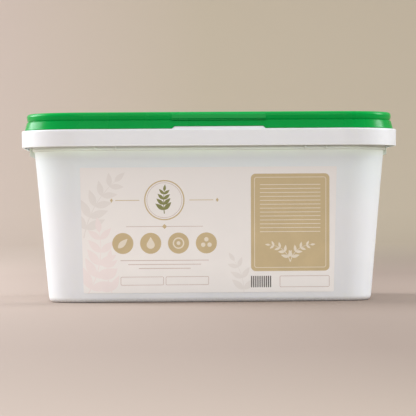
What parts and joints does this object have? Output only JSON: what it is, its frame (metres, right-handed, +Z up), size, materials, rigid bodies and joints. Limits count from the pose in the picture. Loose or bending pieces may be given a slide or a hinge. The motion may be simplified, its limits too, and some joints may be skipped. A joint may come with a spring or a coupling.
{
  "type": "rectangular plastic tub with press-on lid",
  "caption": "White tapered rectangular plastic tub with an overhanging rim skirt, a stepped green press-on lid with a finger tab, and a film label on its front wall.",
  "frame": {"origin": "on the floor under the middle of the tub, between the runs of its foot ring", "axes": "+X along the long side, to the right when facing the label; -Y out of the front wall that carries the label; +Z up"},
  "size_m": [0.396, 0.296, 0.198],
  "materials": {
    "tub_white": "satin white moulded polypropylene",
    "lid_green": "glossy green moulded polypropylene",
    "label_film": "satin printed adhesive film"
  },
  "bodies": {
    "root": {"tub": "tub_white", "lid": "lid_green", "label": "label_film"}
  },
  "joints": []
}
